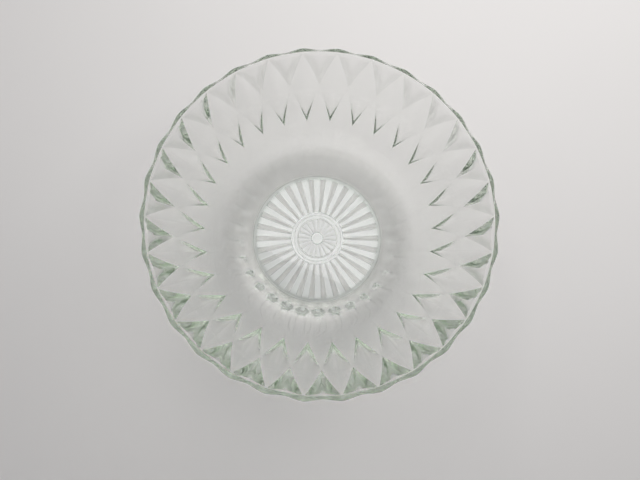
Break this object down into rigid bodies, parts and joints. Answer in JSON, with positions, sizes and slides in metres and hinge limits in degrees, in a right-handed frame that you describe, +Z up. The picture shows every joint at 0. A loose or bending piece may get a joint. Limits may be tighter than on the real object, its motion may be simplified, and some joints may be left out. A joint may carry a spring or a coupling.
{
  "type": "serving bowl",
  "caption": "Flared round glass bowl with a scalloped rim, diamonds and flutes pressed round the outside, a smooth inside and a star under the flat foot ring.",
  "frame": {"origin": "centre of the foot ring's flat face, on the bowl's axis", "axes": "+Z up along the bowl's axis, out of its mouth; +X through one peak of the scalloped rim"},
  "size_m": [0.23, 0.2288, 0.095],
  "materials": {
    "green_glass": "clear pressed soda-lime glass with a slight green tint, fire-polished"
  },
  "bodies": {
    "root": {"bowl": "green_glass"}
  },
  "joints": []
}
